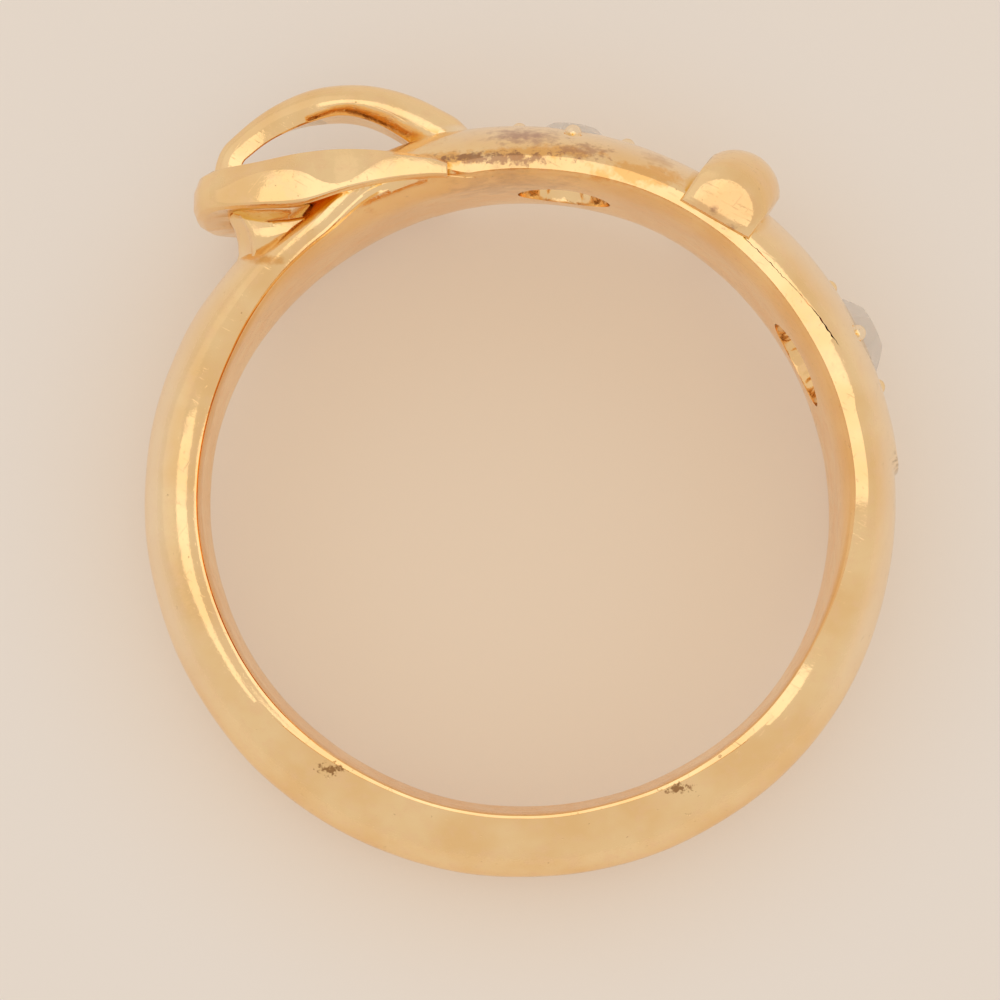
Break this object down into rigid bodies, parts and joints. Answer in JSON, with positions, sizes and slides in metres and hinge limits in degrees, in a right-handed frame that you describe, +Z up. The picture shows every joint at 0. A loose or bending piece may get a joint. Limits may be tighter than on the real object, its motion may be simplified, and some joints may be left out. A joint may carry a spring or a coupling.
{
  "type": "belt buckle ring",
  "caption": "Gold finger ring in the form of a fastened belt, with frame, arched tongue, keeper bar, strap end and small faceted stones.",
  "frame": {"origin": "middle of the finger hole, on its axis and half way across the belt", "axes": "+Z up from the surface that the ring lies on, nearly along the finger axis; +Y towards the belt's crest between buckle and stone; +X towards the strap's tip"},
  "size_m": [0.0209, 0.0218, 0.0075],
  "materials": {
    "gold": "worn, softly polished high-carat yellow gold with fine scratches and dark grime in its recesses",
    "stone": "polished colourless old-cut gem"
  },
  "bodies": {
    "root": {"belt_and_buckle": "gold", "stone_by_buckle": "stone", "stone_by_tip": "stone"}
  },
  "joints": []
}
